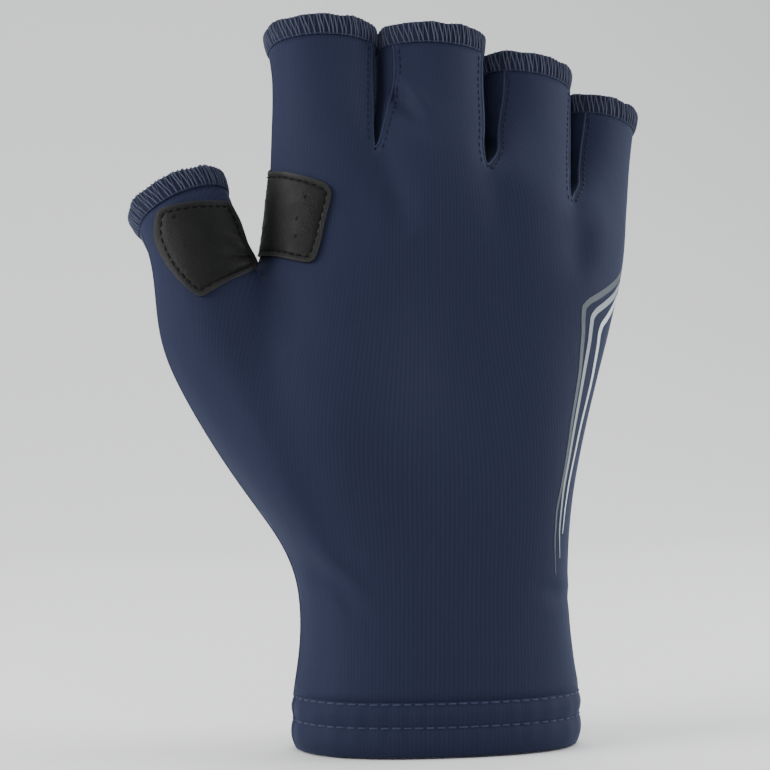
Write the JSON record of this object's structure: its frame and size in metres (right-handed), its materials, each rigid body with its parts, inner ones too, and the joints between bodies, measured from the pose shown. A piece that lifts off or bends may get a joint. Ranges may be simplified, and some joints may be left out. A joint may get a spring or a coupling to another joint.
{
  "type": "fingerless boating glove",
  "caption": "Fingerless stretch-knit boating glove for the left hand, open at the fingertips, with grip patches on thumb and index finger and a turned cuff.",
  "frame": {"origin": "middle of the cuff's mouth, where the hand comes in", "axes": "+Z along the forearm toward the fingertips, -Y toward the viewer, the palm's side, +X toward the little finger"},
  "size_m": [0.1357, 0.0553, 0.1787],
  "materials": {
    "knit": "dark slate-blue warp-knit stretch cloth, faint vertical ribs, dull",
    "knit_back": "the same knit on the back of the hand, dull",
    "gusset_knit": "the same knit between the fingers, dull",
    "thread": "overlock thread over a cut edge of knit, dull",
    "synthetic_leather": "dark grey fine-grained synthetic leather, low sheen"
  },
  "bodies": {
    "root": {"palm_panel": "knit", "back_panel": "knit_back", "cuff_hem": "knit", "index_middle_gusset": "gusset_knit", "middle_ring_gusset": "gusset_knit", "ring_little_gusset": "gusset_knit", "thumb_edge": "thread", "index_edge": "thread", "middle_edge": "thread", "ring_edge": "thread", "little_edge": "thread", "thumb_patch": "synthetic_leather", "index_patch": "synthetic_leather"}
  },
  "joints": []
}
